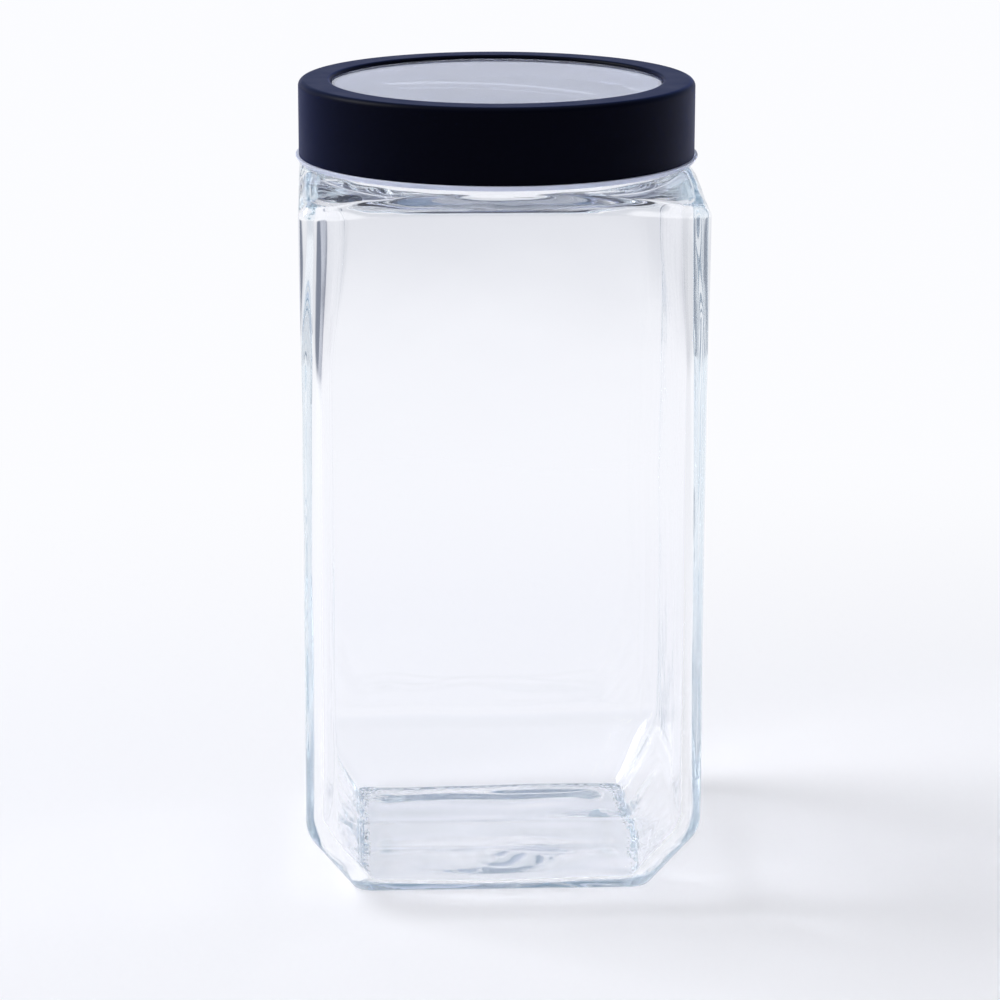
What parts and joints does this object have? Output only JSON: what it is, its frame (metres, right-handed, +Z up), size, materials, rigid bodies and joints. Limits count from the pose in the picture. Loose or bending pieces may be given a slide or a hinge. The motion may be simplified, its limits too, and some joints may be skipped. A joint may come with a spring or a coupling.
{
  "type": "lidded canister",
  "caption": "Square clear-glass canister with sloped heel, round threaded neck and a black-banded screw lid with a clear window and seal.",
  "frame": {"origin": "middle of the square base, on the plane of the table", "axes": "+Z up along the axis of the neck and lid; X and Y square to the flat walls, with -Y towards the pictured front"},
  "size_m": [0.112, 0.112, 0.223],
  "materials": {
    "clear_glass": "clear moulded soda-lime glass, fire polished, slightly wavy",
    "clear_plastic": "clear moulded plastic, glossy",
    "black_coat": "satin black coat on pressed steel",
    "silicone": "translucent silicone, matt"
  },
  "bodies": {
    "jar": {"glass_jar": "clear_glass"},
    "seal": {"seal_ring": "silicone"},
    "lid": {"lid_insert": "clear_plastic", "lid_band": "black_coat"}
  },
  "joints": [
    {"name": "lid_rise", "type": "slide", "parent": "jar", "child": "seal", "axis": [0, 0, 1], "range_m": [0, 0.0241]},
    {"name": "lid_turn", "type": "hinge", "parent": "seal", "child": "lid", "pos_m": [0, 0, 0.212], "axis": [0, 0, 1], "range_deg": [0, 540]}
  ],
  "couplings": [
    {"joint": "lid_rise", "follows": "lid_turn", "m_per_rad": 0.0025465}
  ]
}
